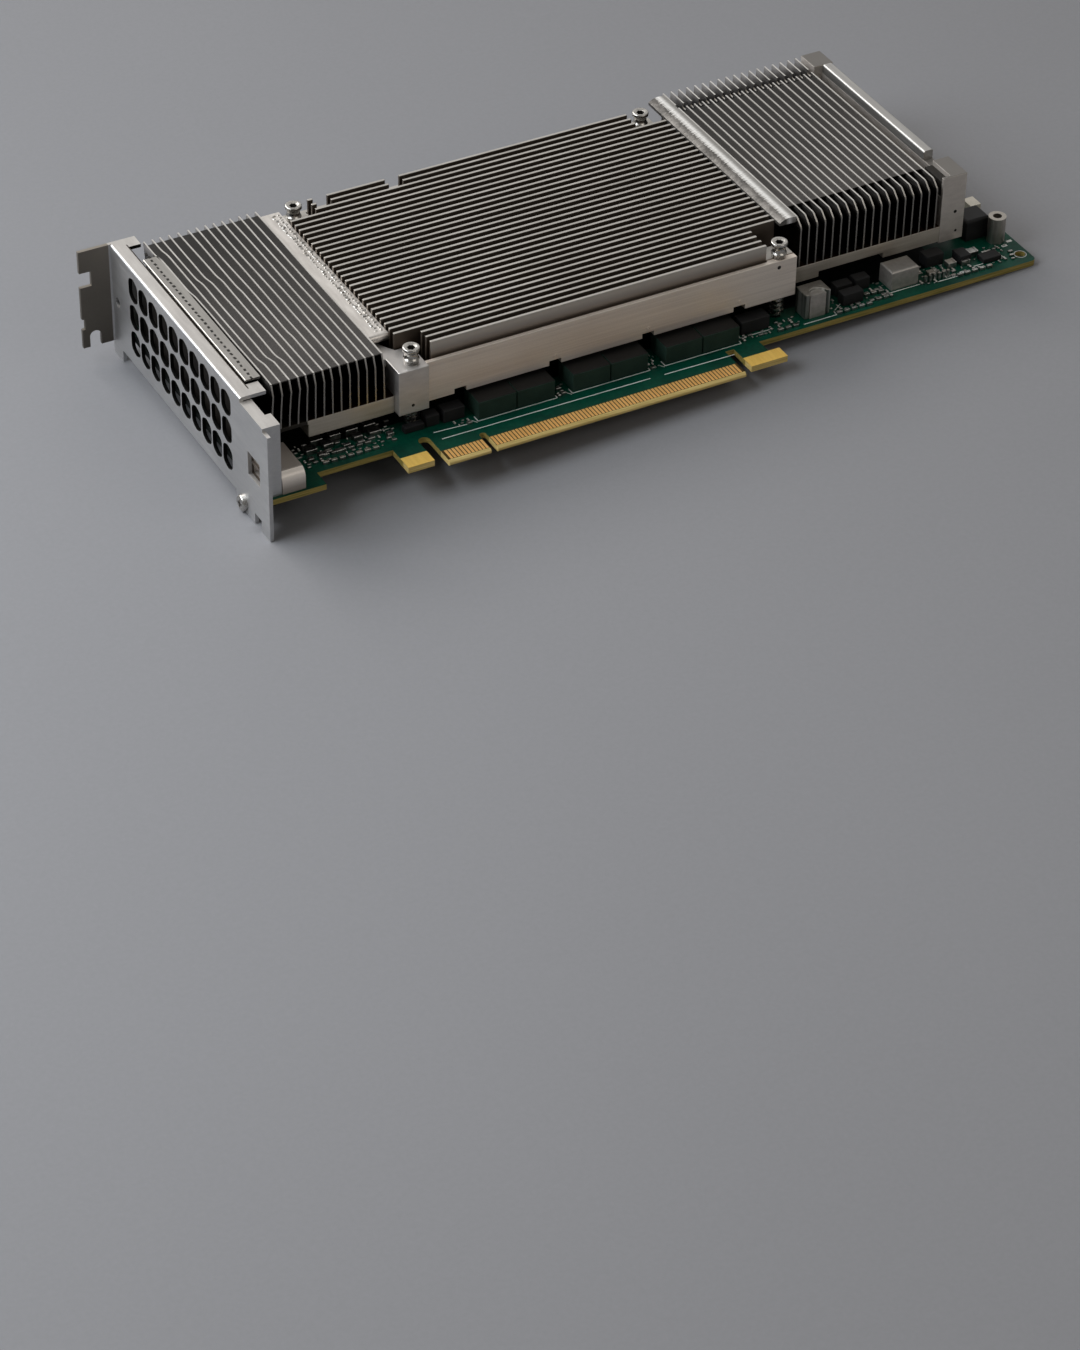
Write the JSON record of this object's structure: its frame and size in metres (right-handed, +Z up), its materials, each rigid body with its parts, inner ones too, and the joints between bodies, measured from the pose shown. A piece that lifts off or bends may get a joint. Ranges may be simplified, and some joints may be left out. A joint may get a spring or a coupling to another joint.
{
  "type": "passive accelerator card",
  "caption": "Passive accelerator card: edge-connector board with a vented bracket, a three-section finned heat sink held by spring screws, and power parts along its front.",
  "frame": {"origin": "middle of the key slot, at the front edge of the edge contacts, on the board's top face", "axes": "+X along the board away from the bracket, +Y away from the contact edge, +Z up out of the board's component face"},
  "size_m": [0.2379, 0.098, 0.0346],
  "materials": {
    "board": "green solder mask over glass-fibre board",
    "gold": "thin gold plating",
    "bracket_steel": "plated sheet steel",
    "screw_steel": "bright nickel plate",
    "port_steel": "bright sheet steel",
    "black_plastic": "matte",
    "heat_sink": "plain machined, slightly warm grey",
    "chip_black": "moulded epoxy",
    "thermal_grey": "thermal compound",
    "inductor_metal": "satin metal case",
    "light_plastic": "moulded",
    "capacitor_tan": "ceramic"
  },
  "bodies": {
    "root": {"circuit_board": "board", "edge_contacts": "gold", "tab_plating": "gold", "bracket": "bracket_steel", "bracket_block": "bracket_steel", "bracket_screw": "screw_steel", "port_shell": "port_steel", "port_insulator": "black_plastic", "center_sink": "heat_sink", "left_base": "heat_sink", "left_fins": "heat_sink", "left_lip": "heat_sink", "cover_strip": "heat_sink", "corner_block": "heat_sink", "right_base": "heat_sink", "right_fins": "heat_sink", "ridge_strip": "heat_sink", "end_frame": "heat_sink", "end_rail": "heat_sink", "spring_screws": "screw_steel", "screw_springs": "screw_steel", "screw_nuts": "screw_steel", "processor_carrier": "board", "processor_die": "chip_black", "memory_stacks": "chip_black", "thermal_layer": "thermal_grey", "power_modules": "chip_black", "driver_chips": "chip_black", "notched_inductor": "inductor_metal", "inductor_core": "inductor_metal", "plain_inductor": "inductor_metal", "end_choke": "chip_black", "end_post": "screw_steel", "end_connector": "light_plastic", "pin_row": "gold", "chip_capacitors": "capacitor_tan"}
  },
  "joints": []
}
